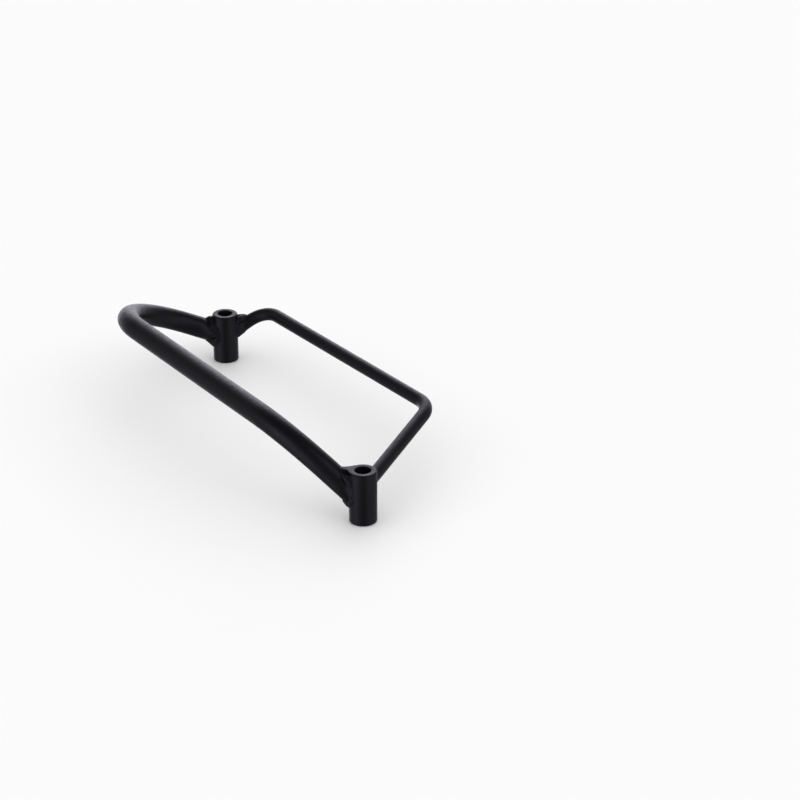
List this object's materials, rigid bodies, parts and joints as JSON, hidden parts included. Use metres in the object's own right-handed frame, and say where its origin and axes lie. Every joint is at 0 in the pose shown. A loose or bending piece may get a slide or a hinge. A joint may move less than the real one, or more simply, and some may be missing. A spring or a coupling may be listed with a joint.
{
  "type": "pannier frame",
  "caption": "Open bow of bent steel tube and round bar welded between bored spacers, bolted to a motorbike's side to keep a soft pannier off the wheel.",
  "frame": {"origin": "midway between the two bores, on the plane of the bosses' feet", "axes": "+X from the rear boss to the front boss, +Y towards the support rod's side, +Z along the bores, from the feet on the motorbike to the screw heads"},
  "size_m": [0.3094, 0.1762, 0.068],
  "materials": {
    "black_powder_coat": "satin"
  },
  "bodies": {
    "root": {"main_tube": "black_powder_coat", "support_rod": "black_powder_coat", "rear_boss": "black_powder_coat", "front_boss": "black_powder_coat", "rear_tube_weld": "black_powder_coat", "front_tube_weld": "black_powder_coat", "rear_rod_weld": "black_powder_coat", "front_rod_weld": "black_powder_coat"}
  },
  "joints": []
}
